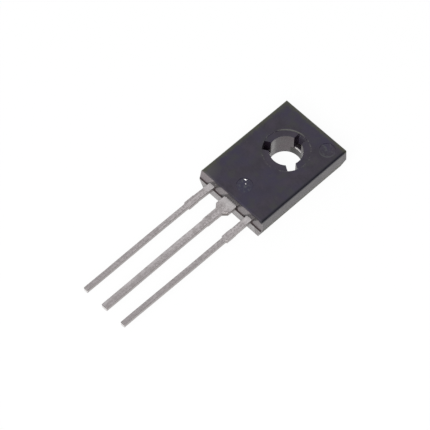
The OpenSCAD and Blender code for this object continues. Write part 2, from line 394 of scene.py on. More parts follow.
NOTCH_TURNS = (90, 210, 330)       # degrees
RIM_R, RIM_HALF_W, RIM_H = 1.63, 0.09, 0.06
RIM_SPREAD = math.radians(15.5)
RIM_POINT, RIM_FULLNESS = 0.02, 6  # share left at the bead's ends, and how late it draws in
RIM_SECTIONS, RIM_AROUND = 25, 16
FLAKE_H, FLAKE_UNEVEN, FLAKE_AROUND = 0.026, 0.25, 24
FLAKE_SHARES = np.array([0.02, 0.35, 0.65, 0.88, 1.0, 0.9, 0.5, 0.02])    # of the way out
FLAKE_HEIGHTS = np.array([1.0, 0.9, 0.6, 0.25, 0.0, -0.2, -0.2, -0.2])    # shares of FLAKE_H


def plate_rim(turn):
    """The plate's edge that a holding pin leaves bare at the foot of its notch.

    x = r cos a, y = r sin a, z = PLATE_T + RIM_H sin v, with r = RIM_R + RIM_HALF_W cos v,
    for a along the notch and v round the bead, which draws in to a point at both ends."""
    along = np.linspace(-1.0, 1.0, RIM_SECTIONS)
    angle = turn + RIM_SPREAD * along
    fullness = np.sqrt(np.clip(1 - along ** RIM_FULLNESS, 0.0, 1.0))
    taper = fullness * (1 - RIM_POINT) + RIM_POINT
    round_bead = np.linspace(0, 2 * math.pi, RIM_AROUND, endpoint=False)
    r = RIM_R + RIM_HALF_W * np.cos(round_bead)[None, :] * taper[:, None]
    z = PLATE_T + RIM_H * np.sin(round_bead)[None, :] * taper[:, None]
    x = r * np.cos(angle)[:, None]
    y = r * np.sin(angle)[:, None]
    return tube_with_ends(np.stack([x, y, z], -1))


def plate_rims(name, finish):
    """The three bare edges, one in each notch."""
    shells = [outward(plate_rim(math.radians(turn))) for turn in NOTCH_TURNS]
    piece = add_mesh(name, *stack_shells(*shells), finish)
    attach(piece, "root")
    return piece


def flake(x0, y0, half_l, half_w, turn, seed):
    """A stray flake lying in the middle ejector mark: a low dome over an uneven outline.

    At the angle a, the outline is half_l cos a, half_w sin a, made uneven by a wave with the
    seed as its phase. At the share s of the way out, the top is about FLAKE_H (1 - s^2) high."""
    angle = np.linspace(0, 2 * math.pi, FLAKE_AROUND, endpoint=False)
    uneven = 1 + FLAKE_UNEVEN * np.sin(3 * angle + seed) * np.cos(2 * angle + 2 * seed)
    u = half_l * np.cos(angle) * uneven
    v = half_w * np.sin(angle) * uneven
    out = FLAKE_SHARES[:, None]
    x = x0 + out * (u * math.cos(turn) - v * math.sin(turn))[None, :]
    y = y0 + out * (u * math.sin(turn) + v * math.cos(turn))[None, :]
    z = np.broadcast_to(MARK_FLOOR_Z + FLAKE_H * FLAKE_HEIGHTS[:, None], x.shape)
    return tube_with_ends(np.stack([x, y, z], -1))


def mark_flakes(name, finish):
    """Two flakes of tin that stick in the middle ejector mark."""
    long_flake = flake(x0=-0.36, y0=-4.68, half_l=0.15, half_w=0.05, turn=math.radians(25), seed=1)
    small_flake = flake(x0=-0.05, y0=-4.96, half_l=0.06, half_w=0.055, turn=0.0, seed=4)
    piece = add_mesh(name, *stack_shells(outward(long_flake), outward(small_flake)), finish)
    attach(piece, "root")
    return piece


# ---------------------------------------------------------------- nodes

NOISE_SPAN = (0.3, 0.7)            # where most of a noise's values lie


def add_node(tree, kind, inputs=None, **settings):
    """A node with its settings; inputs maps a socket's name or number to a value or a socket."""
    made = tree.nodes.new(kind)
    for key, value in settings.items():
        setattr(made, key, value)
    for key, value in (inputs or {}).items():
        if isinstance(value, bpy.types.NodeSocket):
            tree.links.new(value, made.inputs[key])
        else:
            made.inputs[key].default_value = value
    return made


def new_finish(name):
    """A material with an output and a principled shader, and the point on the piece."""
    finish = bpy.data.materials.new(name)
    finish.use_nodes = True
    tree = finish.node_tree
    tree.nodes.clear()
    output = tree.nodes.new("ShaderNodeOutputMaterial")
    shader = tree.nodes.new("ShaderNodeBsdfPrincipled")
    tree.links.new(shader.outputs["BSDF"], output.inputs["Surface"])
    point = tree.nodes.new("ShaderNodeTexCoord").outputs["Object"]
    return finish, tree, shader, point


def feed(tree, shader, socket, value):
    """Joins a value that varies over the surface to the shader's socket."""
    tree.links.new(value, shader.inputs[socket])


def grain(tree, point, size_mm, detail=3.0, roughness=0.5, stretch=(1, 1, 1)):
    """Noise whose features are about size_mm across, stretched along the axes by stretch."""
    scale = [1.0 / (size_mm * MM * s) for s in stretch]
    mapped = add_node(tree, "ShaderNodeMapping", {"Vector": point, "Scale": scale})
    noise = {"Vector": mapped.outputs[0], "Scale": 1.0, "Detail": detail, "Roughness": roughness}
    return add_node(tree, "ShaderNodeTexNoise", noise).outputs["Fac"]


def remap(tree, value, low, high, to_low, to_high):
    """The value's range low..high carried to to_low..to_high, held at the ends."""
    inputs = {"Value": value, "From Min": low, "From Max": high, "To Min": to_low, "To Max": to_high}
    return add_node(tree, "ShaderNodeMapRange", inputs).outputs["Result"]


def blend_colors(tree, share, first, second):
    """first where share is 0, second where it is 1."""
    mix = add_node(tree, "ShaderNodeMix", {0: share}, data_type="RGBA")
    for socket, color in ((mix.inputs[6], first), (mix.inputs[7], second)):
        if isinstance(color, bpy.types.NodeSocket):
            tree.links.new(color, socket)
        else:
            socket.default_value = (*color, 1.0)
    return mix.outputs[2]


def blend_values(tree, share, first, second):
    """The same for two plain values."""
    return add_node(tree, "ShaderNodeMix", {0: share, 2: first, 3: second}).outputs[0]


def combine(tree, kind, first, second=0.0):
    """A sum, product, difference or the like of two values."""
    return add_node(tree, "ShaderNodeMath", {0: first, 1: second}, operation=kind).outputs[0]


def vector_math(tree, kind, first, second):
    """A product, distance or the like of two vectors, as the node that holds it."""
    return add_node(tree, "ShaderNodeVectorMath", {0: first, 1: second}, operation=kind)


def in_millimetres(tree, point):
    """The point on the piece in millimetres, and its x, y and z."""
    scaled = vector_math(tree, "MULTIPLY", point, (1 / MM, 1 / MM, 1 / MM))
    parts = add_node(tree, "ShaderNodeSeparateXYZ", {0: scaled.outputs[0]})
    return scaled.outputs[0], parts.outputs["X"], parts.outputs["Y"], parts.outputs["Z"]


def distance_from(tree, point_mm, x, y):
    """Distance from the upright line through (x, y), in millimetres."""
    flat = vector_math(tree, "MULTIPLY", point_mm, (1, 1, 0))
    return vector_math(tree, "DISTANCE", flat.outputs[0], (x, y, 0)).outputs["Value"]


def away_from(tree, value, middle):
    """How far the value is from middle, either way."""
    return combine(tree, "ABSOLUTE", combine(tree, "SUBTRACT", value, middle))


def near(tree, value, middle, reach):
    """1 where the value is at middle, falling evenly to 0 at reach away from it."""
    return remap(tree, away_from(tree, value, middle), 0.0, reach, 1.0, 0.0)


def step(tree, value, low, high):
    """0 up to low, 1 from high on, even between; low above high turns it round."""
    if low > high:
        return remap(tree, value, high, low, 1.0, 0.0)
    return remap(tree, value, low, high, 0.0, 1.0)


def both(tree, first, second):
    """The share where both masks hold."""
    return combine(tree, "MULTIPLY", first, second)


def either(tree, first, second):
    """The share where one mask or the other holds."""
    return combine(tree, "MAXIMUM", first, second)


# ---------------------------------------------------------------- moulding: tones

FACE_DARK, FACE_LIGHT = (0.007, 0.002, 0.012), (0.018, 0.010, 0.025)
FACE_BLUE, FACE_GREY = (0.009, 0.004, 0.028), (0.015, 0.014, 0.013)
# RIM_SHADE: painted shade, the dark reflection along the face's rounded right edge
RIM_SHADE = (0.003, 0.002, 0.009)
# FAR_EDGE_SHEEN: painted reflection of the floor, an olive sheen on the far edges' rounding
FAR_EDGE_SHEEN, CORNER_PALE = (0.034, 0.036, 0.013), (0.038, 0.034, 0.037)
# RING_HIGHLIGHT: painted highlight along the step that the mould's insert leaves round the hole
RING_HIGHLIGHT = (0.100, 0.100, 0.088)
# MARK_SCUFF_AND_HIGHLIGHT: pale scuffs in the marks, and a crescent of painted highlight at a rim
MARK_SCUFF_AND_HIGHLIGHT, MARK_BLUE = (0.060, 0.064, 0.066), (0.007, 0.005, 0.028)
WALL_DARK, WALL_LIGHT = (0.046, 0.036, 0.039), (0.073, 0.058, 0.062)
# painted light on the lead-side wall; its back half is a painted reflection of the lit floor
LIT_LEAD_WALL_DARK, LIT_LEAD_WALL_LIGHT = (0.105, 0.088, 0.092), (0.150, 0.130, 0.134)
LIT_LEAD_WALL_PINK, LIT_LEAD_BACK = (0.128, 0.098, 0.107), (0.200, 0.184, 0.184)
# painted shade on the right wall, which gets less light; its duller back half a painted reflection
RIGHT_FRONT_SHADE, RIGHT_BACK_REFLECTION = (0.034, 0.027, 0.033), (0.076, 0.070, 0.058)
# SEAM_SHADE: painted shade under the parting step and beside the leads; SHADE_ABOVE_LEAD: above them
SEAM_SHADE, SHADE_ABOVE_LEAD = (0.042, 0.030, 0.031), (0.012, 0.008, 0.010)
# painted shade deep in the notches, lighter on their end walls, which face the light
NOTCH_SHADE, NOTCH_END_LIT = (0.014, 0.009, 0.016), (0.042, 0.034, 0.054)
# HOLE_LIT: painted light on the hole's left part, which faces the light
HOLE_LIT, HOLE_DARK = (0.280, 0.262, 0.264), (0.020, 0.017, 0.013)
HOLE_VIOLET = (0.050, 0.026, 0.038)
FACE_SHINE, RIM_SHINE = 0.46, 0.36

# ---------------------------------------------------------------- moulding: grains in millimetres

FACE_CLOUD_MM, SPECKLE_MM, CLOUD_SHARE, SPECKLE_SHARE = 1.3, 0.22, 0.6, 0.4
BLUE_MM, GREY_MM = 2.3, 1.1
RING_BREAK_MM, SCUFF_MM = 0.18, 0.28
WALL_CLOUD_MM, SATIN_MM, FILLER_MM = 0.8, 0.5, 0.07

# a tone's first and last noise value, and its share at each, where that isn't 0 and 1
MOTTLE_SPAN = (0.40, 0.60)
BLUE_PATCHES = (0.42, 0.62, 0.0, 0.8)
GREY_PATCHES = (0.50, 0.68, 0.0, 0.7)
RIM_BREAKS = (0.25, 0.4)
EDGE_WOBBLE = 0.15                 # millimetres either way
RING_BREAKS = (0.52, 0.62, 0.0, 0.6)
SCUFFS = (0.52, 0.66, 0.0, 0.55)

# ---------------------------------------------------------------- moulding: places in millimetres

# a tone is absent up to a pair's first place and whole from its second on, in x, y, z or distance
RIGHT_RIM, RIGHT_RIM_GLOSS = (3.45, 3.56), (3.46, 3.60)
FAR_EDGE_SHEEN_REACH = (0.10, 0.50, 0.85, 0.0)       # distances from the far edges, and the share at each
PALE_CORNER = (0.6, 1.8, 0.8, 0.0)         # the same from the left corner
RING_FAR_X, RING_FAR_Y, RING_WHOLE = 0.515, 0.857, (1.75, 2.0)   # where the ring is unbroken
MARK_EDGE = (EJECTOR_R + 0.03, EJECTOR_R - 0.05)
# a crescent of painted highlight along the corner mark's rim
CRESCENT_MIDDLE = (CORNER_MARK[0] - 0.09, CORNER_MARK[1] + 0.12)
CRESCENT_HIGHLIGHT = (EJECTOR_R - 0.05, EJECTOR_R + 0.08, 0.0, 0.55)
CORNER_MARK_Y, MIDDLE_MARK_Y = (-1.0, 0.0), (-1.0, -2.0)         # which of the marks it is

FRONT_EDGE = (CASE_T - 0.14, CASE_T - 0.05)
# the face's tone, painted dark rim and all, reaches lower at the right rim to widen that shade
RIM_DROP_X, RIM_DROP = (3.3, 3.5), 0.15          # the face's tone reaches lower at the right rim
BACK_HALF = (PARTING_Z + 0.02, PARTING_Z - 0.02)
RIGHT_WALL, LEAD_WALL = (3.0, 3.1), (-6.60, -6.66)
PINK_WALL = (-2.7, -2.5, 0.8, 0.0)               # x, and the share at each
# painted shade on the wall above each lead
ABOVE_LEADS = ((-2.12, 0.42), (0.08, 0.90), (2.45, 0.46))        # middle and half width along x
LEAD_CREVICES = ((-1.92, 0.07), (0.84, 0.08), (2.68, 0.07))
SLANT_Z, SLANT = 1.95, 0.8                       # the fields above the leads lean to the right
FIELD_SOFT, CREVICE_SOFT = 0.08, 0.04
CREVICE_FOOT, CREVICE_TOP = (1.24, 1.30), (1.95, 1.88)
SEAM_Z, SEAM_FADE = PARTING_Z - 0.01, (0.08, 0.03)

BORE_WALL = (1.60, 1.54)                         # distances from the hole's axis
BORE_LEFT_X, BORE_LEFT_Y = (-0.9, -1.2), (0.30, 0.0)
UNDER_NOTCH_Y, UNDER_NOTCH_Z = (1.30, 1.38), (0.90, 0.84)
NOTCH_START, NOTCH_STOP = (1.54, 1.58), (2.30, 2.25)
NOTCH_END_R, NOTCH_END_Y = (2.10, 2.13), (1.5, 1.6)

# ---------------------------------------------------------------- moulding: gloss and bump

SATIN_ROUGH, WALL_ROUGH, RIGHT_WALL_ROUGH = (0.27, 0.36), (0.30, 0.38), 0.60
WALL_SHINE, RIGHT_SHINE_LOSS, SHADED_SHINE = 0.50, 0.16, 0.25
RESIN_IOR = 1.75
FILLER_BUMP, FILLER_BUMP_H = 0.5, 0.002 * MM
PIT_BUMP, PIT_BUMP_H = 1.0, 0.03 * MM


def mark_distance(tree, point_mm):
    """Distance from the nearer of the two ejector marks' middles."""
    middle = distance_from(tree, point_mm, *MIDDLE_MARK)
    corner = distance_from(tree, point_mm, *CORNER_MARK)
    return combine(tree, "MINIMUM", middle, corner)


def mottled_slate(tree, point, speckle, tint):
    """The front face's violet slate in clouds and specks, with patches of blue and grey."""
    cloud = combine(tree, "MULTIPLY", grain(tree, point, FACE_CLOUD_MM), CLOUD_SHARE)
    mottle = combine(tree, "ADD", cloud, combine(tree, "MULTIPLY", speckle, SPECKLE_SHARE))
    violet = blend_colors(tree, step(tree, mottle, *MOTTLE_SPAN), FACE_DARK, FACE_LIGHT)
    blued = blend_colors(tree, tint, violet, FACE_BLUE)
    greying = remap(tree, grain(tree, point, GREY_MM), *GREY_PATCHES)
    return blend_colors(tree, greying, blued, FACE_GREY)


def edge_light_and_shade(tree, point_mm, x, y, speckle, face):
    """The face with painted shade on its right rim, a paler left corner, and a painted olive
    reflection of the floor along its far edges.
    """
    # painted shade along the right rim, broken here and there
    rim = both(tree, step(tree, x, *RIGHT_RIM), step(tree, speckle, *RIM_BREAKS))
    rimmed = blend_colors(tree, rim, face, RIM_SHADE)
    # the face paler towards its left corner
    from_corner = distance_from(tree, point_mm, -CASE_HALF_W, LEAD_SIDE_Y)
    worn = blend_colors(tree, remap(tree, from_corner, *PALE_CORNER), rimmed, CORNER_PALE)
    # painted olive reflection along the two far edges, its border wobbling with the speckle
    to_left = combine(tree, "ADD", x, CASE_HALF_W)
    to_end = combine(tree, "SUBTRACT", CASE_END_Y, y)
    wobble = remap(tree, speckle, *NOISE_SPAN, -EDGE_WOBBLE, EDGE_WOBBLE)
    to_edge = combine(tree, "ADD", combine(tree, "MINIMUM", to_left, to_end), wobble)
    return blend_colors(tree, remap(tree, to_edge, *FAR_EDGE_SHEEN_REACH), worn, FAR_EDGE_SHEEN)


def insert_ring_highlight(tree, point, point_mm, x, y):
    """Share of the painted highlight along the mould insert's step round the hole: whole on its far
    side, where the step catches the light, broken elsewhere.
    """
    ring = near(tree, distance_from(tree, point_mm, 0, 0), RING_R, RING_REACH)
    broken = remap(tree, grain(tree, point, RING_BREAK_MM, 2.0), *RING_BREAKS)
    along_x = combine(tree, "MULTIPLY", x, RING_FAR_X)
    along_y = combine(tree, "MULTIPLY", y, RING_FAR_Y)
    to_far = combine(tree, "SUBTRACT", along_y, along_x)
    return both(tree, ring, either(tree, broken, step(tree, to_far, *RING_WHOLE)))


def face_tone(tree, point, point_mm, x, y):
    """Tone of the front face: mottled slate, painted shade and reflection at its edges, a painted
    highlight along the insert's ring, and the scuffs, a crescent of painted highlight and the blue
    tint in the ejector marks."""
    speckle = grain(tree, point, SPECKLE_MM, 3.0, 0.6)
    tint = remap(tree, grain(tree, point, BLUE_MM, 2.0), *BLUE_PATCHES)
    slate = mottled_slate(tree, point, speckle, tint)
    edge_painted = edge_light_and_shade(tree, point_mm, x, y, speckle, slate)
    ringed = blend_colors(tree, insert_ring_highlight(tree, point, point_mm, x, y), edge_painted, RING_HIGHLIGHT)

    inside = step(tree, mark_distance(tree, point_mm), *MARK_EDGE)
    in_middle = both(tree, inside, step(tree, y, *MIDDLE_MARK_Y))
    marked = blend_colors(tree, both(tree, in_middle, tint), ringed, MARK_BLUE)
    scuffs = remap(tree, grain(tree, point, SCUFF_MM, 3.0, 0.6), *SCUFFS)
    # painted highlight: a crescent along the corner mark's rim
    crescent = remap(tree, distance_from(tree, point_mm, *CRESCENT_MIDDLE), *CRESCENT_HIGHLIGHT)
    crescent = both(tree, crescent, step(tree, y, *CORNER_MARK_Y))
    pale = both(tree, inside, either(tree, scuffs, crescent))
    return blend_colors(tree, pale, marked, MARK_SCUFF_AND_HIGHLIGHT)


def beside_leads(tree, x, zones, soft):
    """1 where x lies in one of the zones, each given by its middle and half width."""
    share = 0.0
    for middle, half_w in zones:
        in_zone = step(tree, away_from(tree, x, middle), half_w + soft, half_w - soft)
        share = either(tree, share, in_zone)
    return share


def lead_side_tone(tree, x, z, cloud, back_half):
    """Tone of the wall that the leads leave, in painted light, with painted shade above the leads;
    also the share of the painted shade along its seam and in the crevices beside the leads.
    """
    plain = blend_colors(tree, cloud, LIT_LEAD_WALL_DARK, LIT_LEAD_WALL_LIGHT)
    pinked = blend_colors(tree, remap(tree, x, *PINK_WALL), plain, LIT_LEAD_WALL_PINK)
    # painted shade above the leads, leaning to the right as it rises
    slant = combine(tree, "MULTIPLY", combine(tree, "SUBTRACT", z, SLANT_Z), SLANT)
    slanted = combine(tree, "SUBTRACT", x, slant)
    fields = beside_leads(tree, slanted, ABOVE_LEADS, FIELD_SOFT)
    above = blend_colors(tree, fields, pinked, SHADE_ABOVE_LEAD)
    wall = blend_colors(tree, back_half, above, LIT_LEAD_BACK)
    # painted shade in the crevices beside the leads and along the parting seam
    at_lead = both(tree, step(tree, z, *CREVICE_FOOT), step(tree, z, *CREVICE_TOP))
    crevice = both(tree, beside_leads(tree, x, LEAD_CREVICES, CREVICE_SOFT), at_lead)
    seam = either(tree, step(tree, away_from(tree, z, SEAM_Z), *SEAM_FADE), crevice)
    return blend_colors(tree, seam, wall, SEAM_SHADE), seam


def wall_tone(tree, point, point_mm, x, y, z):
    """Tone of the drafted walls, the hole and the notches, each set off by its place: painted light on
    the lead side and the hole's left part, painted shade on the right wall and in the notches. It
    also gives the shares of the shaded places and of the right wall's back half."""
    cloud = step(tree, grain(tree, point, WALL_CLOUD_MM), *NOISE_SPAN)
    back_half = step(tree, z, *BACK_HALF)
    right = step(tree, x, *RIGHT_WALL)
    on_right = both(tree, right, back_half)
    plain = blend_colors(tree, cloud, WALL_DARK, WALL_LIGHT)
    # painted shade on the right wall, and on its back half the painted reflection of the shaded floor
    plain = blend_colors(tree, both(tree, right, cloud), plain, RIGHT_FRONT_SHADE)
    sides = blend_colors(tree, on_right, plain, RIGHT_BACK_REFLECTION)
    lead_side, seam = lead_side_tone(tree, x, z, cloud, back_half)
    on_lead_side = step(tree, y, *LEAD_WALL)
    walls = blend_colors(tree, on_lead_side, sides, lead_side)

    from_axis = distance_from(tree, point_mm, 0, 0)
    in_bore = step(tree, from_axis, *BORE_WALL)
    # painted light on the left part of the hole's wall
    left_part = both(tree, step(tree, x, *BORE_LEFT_X), step(tree, y, *BORE_LEFT_Y))
    bored = blend_colors(tree, both(tree, in_bore, cloud), walls, HOLE_VIOLET)
    bored = blend_colors(tree, both(tree, left_part, in_bore), bored, HOLE_LIT)
    behind = both(tree, in_bore, step(tree, y, *UNDER_NOTCH_Y))
    under_notch = both(tree, behind, step(tree, z, *UNDER_NOTCH_Z))
    bored = blend_colors(tree, under_notch, bored, HOLE_DARK)

    # painted shade inside the notches, less of it on their end walls
    in_notch = both(tree, step(tree, from_axis, *NOTCH_START), step(tree, from_axis, *NOTCH_STOP))
    notched = blend_colors(tree, in_notch, bored, NOTCH_SHADE)
    far_notch = both(tree, in_notch, step(tree, y, *NOTCH_END_Y))
    end_wall = both(tree, step(tree, from_axis, *NOTCH_END_R), far_notch)
    tone = blend_colors(tree, end_wall, notched, NOTCH_END_LIT)
    shaded = either(tree, in_notch, both(tree, seam, on_lead_side))
    return tone, either(tree, shaded, under_notch), on_right


def moulding_gloss(tree, point, x, on_face, shaded, on_right):
    """Roughness and shine of the moulding: satin in front, duller at the right wall's back."""
    satin = remap(tree, grain(tree, point, SATIN_MM), *NOISE_SPAN, *SATIN_ROUGH)
    gloss = remap(tree, grain(tree, point, WALL_CLOUD_MM), *NOISE_SPAN, *WALL_ROUGH)
    dull = either(tree, gloss, combine(tree, "MULTIPLY", on_right, RIGHT_WALL_ROUGH))
    loss = combine(tree, "MULTIPLY", on_right, RIGHT_SHINE_LOSS)
    wall_shine = combine(tree, "SUBTRACT", WALL_SHINE, loss)
    shaded_shine = remap(tree, shaded, 0.0, 1.0, WALL_SHINE, SHADED_SHINE)
    wall_shine = combine(tree, "MINIMUM", wall_shine, shaded_shine)
    rim_shine = remap(tree, x, *RIGHT_RIM_GLOSS, FACE_SHINE, RIM_SHINE)
    rough = blend_values(tree, on_face, dull, satin)
    return rough, blend_values(tree, on_face, wall_shine, rim_shine)


def moulding_bump(tree, point, point_mm, on_face):
    """Fine erosion grain all over, with coarser pits inside the two ejector marks."""
    filler = grain(tree, point, FILLER_MM, 2.0, 0.6)
    fine_bump = {"Height": filler, "Strength": FILLER_BUMP, "Distance": FILLER_BUMP_H}
    fine = add_node(tree, "ShaderNodeBump", fine_bump).outputs[0]
    in_mark = both(tree, step(tree, mark_distance(tree, point_mm), *MARK_EDGE), on_face)
    pits = both(tree, in_mark, grain(tree, point, SCUFF_MM, 3.0, 0.6))
    pit_bump = {"Height": pits, "Strength": PIT_BUMP, "Distance": PIT_BUMP_H, "Normal": fine}
    return add_node(tree, "ShaderNodeBump", pit_bump).outputs[0]


def moulded_epoxy():
    """Dark slate moulding compound: satin front face, drafted walls with a finer gloss."""
    finish, tree, shader, point = new_finish("moulded_epoxy")
    point_mm, x, y, z = in_millimetres(tree, point)
    drop = combine(tree, "MULTIPLY", step(tree, x, *RIM_DROP_X), RIM_DROP)
    on_face = step(tree, combine(tree, "ADD", z, drop), *FRONT_EDGE)
    walls, shaded, on_right = wall_tone(tree, point, point_mm, x, y, z)
    face = face_tone(tree, point, point_mm, x, y)
    rough, shine = moulding_gloss(tree, point, x, on_face, shaded, on_right)
    feed(tree, shader, "Base Color", blend_colors(tree, on_face, walls, face))
    feed(tree, shader, "Roughness", rough)
    feed(tree, shader, "Specular IOR Level", shine)
    feed(tree, shader, "Normal", moulding_bump(tree, point, point_mm, on_face))
    shader.inputs["IOR"].default_value = RESIN_IOR
    return finish


# ---------------------------------------------------------------- metals

TIN_DARK, TIN_PALE = (0.66, 0.610, 0.612), (0.82, 0.762, 0.764)
ROLLED_TIN, SPECK_TIN = (0.52, 0.475, 0.472), (0.40, 0.362, 0.362)
TIP_GREY, STAINED_TIN = (0.47, 0.430, 0.432), (0.44, 0.40, 0.39)
LIGHTER_HALF_TIN, DARKER_SIDE_TIN = (0.80, 0.750, 0.752), (0.40, 0.365, 0.368)
SHEARED_TIN, NECK_SHADE = (0.395, 0.365, 0.360), (0.22, 0.20, 0.19)
CUT_RIM, CUT_CORE = (0.22, 0.21, 0.21), (0.86, 0.83, 0.82)
NOTCH_FLOOR_SHADE, ROOT_TIN = (0.035, 0.030, 0.032), (0.80, 0.76, 0.76)

STREAK_MM, STREAK_STRETCH = 0.06, (1, 60, 1)
ROLLED_MM, ROLLED_STRETCH, ROLLED_SPAN = 0.17, (1, 22, 1), (0.46, 0.62, 0.0, 0.55)
SPECK_MM, SPECK_SPAN = 0.16, (0.45, 0.58, 0.0, 0.7)
STAIN_MM, STAIN_SPAN = 0.6, (0.45, 0.8)

TIP_GREYING = (-21.0, -8.0, 0.60, 0.0)           # y at the tips and the roots, and the shares
SHANK_Y = (-9.6, -10.2)                          # past the leads' steps
LIGHTER_LEFT_X, LIGHTER_RIGHT_X, LIGHTER_SHARE = (-0.45, -0.40), (-0.03, -0.13), 0.5   # middle lead
DARKER_X, DARKER_SHARE = (2.27, 2.40), 0.35          # base lead's right side
SIDE_FACING, TOP_FACING, END_FACING = (0.7, 0.3), (0.3, 0.7), (-0.35, -0.6)
NECK_Y = (-9.2, -9.0)                            # back from the last step, in the neck's shade
CUT_Y = (TIP_Y + 0.25, TIP_Y + 0.15)
CUT_CORE_HALF = (0.15, 0.07)
SHADED_PLATE_R, SHADED_PLATE_Z = (2.35, 2.30), (0.6, 0.7)
ROOT_PALE_Y, ROOT_OUTSIDE_Y = (-7.7, -6.9), (-6.0, -6.5)
ROOT_METALLIC = 0.78
TIN_ROUGH = (0.36, 0.46)
TIN_BUMP_MM, TIN_BUMP, TIN_BUMP_H = 0.08, 0.5, 0.003 * MM

BRIGHT_TIN = (0.93, 0.90, 0.88)
SOLDER_GREY, WIRE_GREY = (0.55, 0.55, 0.57), (0.78, 0.78, 0.79)
METAL_SHADE, METAL_ROUGH_SPREAD = 0.8, 0.05      # share left in its darker grain, and the gloss's
SILICON_DARK, SILICON_PALE = (0.055, 0.057, 0.07), (0.075, 0.08, 0.10)
SILICON_MM, SILICON_ROUGH, SILICON_IOR = 0.15, 0.15, 2.2


def streaked_tin(tree, point, streak):
    """Tin drawn in fine streaks, with broader rolled streaks and dull specks."""
    tin = blend_colors(tree, step(tree, streak, *NOISE_SPAN), TIN_DARK, TIN_PALE)
    rolled = grain(tree, point, ROLLED_MM, 2.0, 0.5, ROLLED_STRETCH)
    tin = blend_colors(tree, remap(tree, rolled, *ROLLED_SPAN), tin, ROLLED_TIN)
    specks = grain(tree, point, SPECK_MM, 2.0, 0.6)
    return blend_colors(tree, remap(tree, specks, *SPECK_SPAN), tin, SPECK_TIN)


def along_leads(tree, point, x, y, tin, worn):
    """The tin greyed towards the tips, lighter on the left half of the middle shank, darker towards
    the right side of the base lead's shank, and stained.
    """
    greyed = blend_colors(tree, remap(tree, y, *TIP_GREYING), tin, TIP_GREY)
    on_shank = step(tree, y, *SHANK_Y)
    lighter_half = both(tree, step(tree, x, *LIGHTER_RIGHT_X), step(tree, x, *LIGHTER_LEFT_X))
    lighter_half = remap(tree, both(tree, lighter_half, on_shank), 0.0, 1.0, 0.0, LIGHTER_SHARE)
    lightened = blend_colors(tree, lighter_half, greyed, LIGHTER_HALF_TIN)
    darker_side = both(tree, step(tree, x, *DARKER_X), on_shank)
    darkened = blend_colors(tree, remap(tree, darker_side, 0.0, 1.0, 0.0, DARKER_SHARE), lightened, DARKER_SIDE_TIN)
    stain = remap(tree, grain(tree, point, STAIN_MM), *STAIN_SPAN, 0, worn)
    return blend_colors(tree, stain, darkened, STAINED_TIN)


def cut_faces(tree, y, z, facing, tin):
    """The tin with darker sheared sides, shaded steps, and tips with a dark rim and a pale core."""
    upright = combine(tree, "ABSOLUTE", facing.outputs["Z"])
    sheared = blend_colors(tree, step(tree, upright, *SIDE_FACING), tin, SHEARED_TIN)
    to_lead_end = step(tree, facing.outputs["Y"], *END_FACING)
    under_neck = both(tree, to_lead_end, step(tree, y, *NECK_Y))
    stepped = blend_colors(tree, under_neck, sheared, NECK_SHADE)
    at_tip = both(tree, to_lead_end, step(tree, y, *CUT_Y))
    rimmed = blend_colors(tree, at_tip, stepped, CUT_RIM)
    core = step(tree, away_from(tree, z, LEAD_Z), *CUT_CORE_HALF)
    return blend_colors(tree, both(tree, at_tip, core), rimmed, CUT_CORE)


def dull_tin(name, worn):
    """Matt tin on a stamped strip: dull, streaked along the strip, darker on its sheared sides.

    It greys towards the tips, is palest where it leaves the case, and the plate's top by the
    fixing hole, seen in the notches, is darkened with painted shade."""
    finish, tree, shader, point = new_finish(name)
    point_mm, x, y, z = in_millimetres(tree, point)
    streak = grain(tree, point, STREAK_MM, 3.0, 0.6, STREAK_STRETCH)
    tin = along_leads(tree, point, x, y, streaked_tin(tree, point, streak), worn)
    normal = add_node(tree, "ShaderNodeNewGeometry").outputs["True Normal"]
    facing = add_node(tree, "ShaderNodeSeparateXYZ", {0: normal})
    cut = cut_faces(tree, y, z, facing, tin)

    # painted shade on the plate's top where it shows in the deep notches
    around_hole = step(tree, distance_from(tree, point_mm, 0, 0), *SHADED_PLATE_R)
    by_hole = both(tree, around_hole, step(tree, z, *SHADED_PLATE_Z))
    base = blend_colors(tree, by_hole, cut, NOTCH_FLOOR_SHADE)
    at_root = both(tree, step(tree, y, *ROOT_PALE_Y), step(tree, facing.outputs["Z"], *TOP_FACING))
    outside = both(tree, at_root, step(tree, y, *ROOT_OUTSIDE_Y))
    feed(tree, shader, "Base Color", blend_colors(tree, outside, base, ROOT_TIN))
    feed(tree, shader, "Metallic", remap(tree, at_root, 0.0, 1.0, 1.0, ROOT_METALLIC))
    feed(tree, shader, "Roughness", remap(tree, streak, *NOISE_SPAN, *TIN_ROUGH))
    height = combine(tree, "ADD", streak, grain(tree, point, TIN_BUMP_MM, 2.0))
    bump = {"Height": height, "Strength": TIN_BUMP, "Distance": TIN_BUMP_H}
    feed(tree, shader, "Normal", add_node(tree, "ShaderNodeBump", bump).outputs[0])
    return finish


def plain_metal(name, color, roughness, grain_mm, metallic=1.0):
    """A metal of one colour with a slight grain in its tone and gloss."""
    finish, tree, shader, point = new_finish(name)
    noise = grain(tree, point, grain_mm)
    dark = [METAL_SHADE * c for c in color]
    feed(tree, shader, "Base Color", blend_colors(tree, step(tree, noise, *NOISE_SPAN), dark, color))
    rough = (roughness - METAL_ROUGH_SPREAD, roughness + METAL_ROUGH_SPREAD)
    feed(tree, shader, "Roughness", remap(tree, noise, *NOISE_SPAN, *rough))
    shader.inputs["Metallic"].default_value = metallic
    return finish


def bare_silicon():
    """Polished silicon with a faint cloud in its tone."""
    finish, tree, shader, point = new_finish("polished_silicon")
    cloud = step(tree, grain(tree, point, SILICON_MM, 2.0), *NOISE_SPAN)
    feed(tree, shader, "Base Color", blend_colors(tree, cloud, SILICON_DARK, SILICON_PALE))
    shader.inputs["Roughness"].default_value = SILICON_ROUGH
    shader.inputs["IOR"].default_value = SILICON_IOR
    return finish


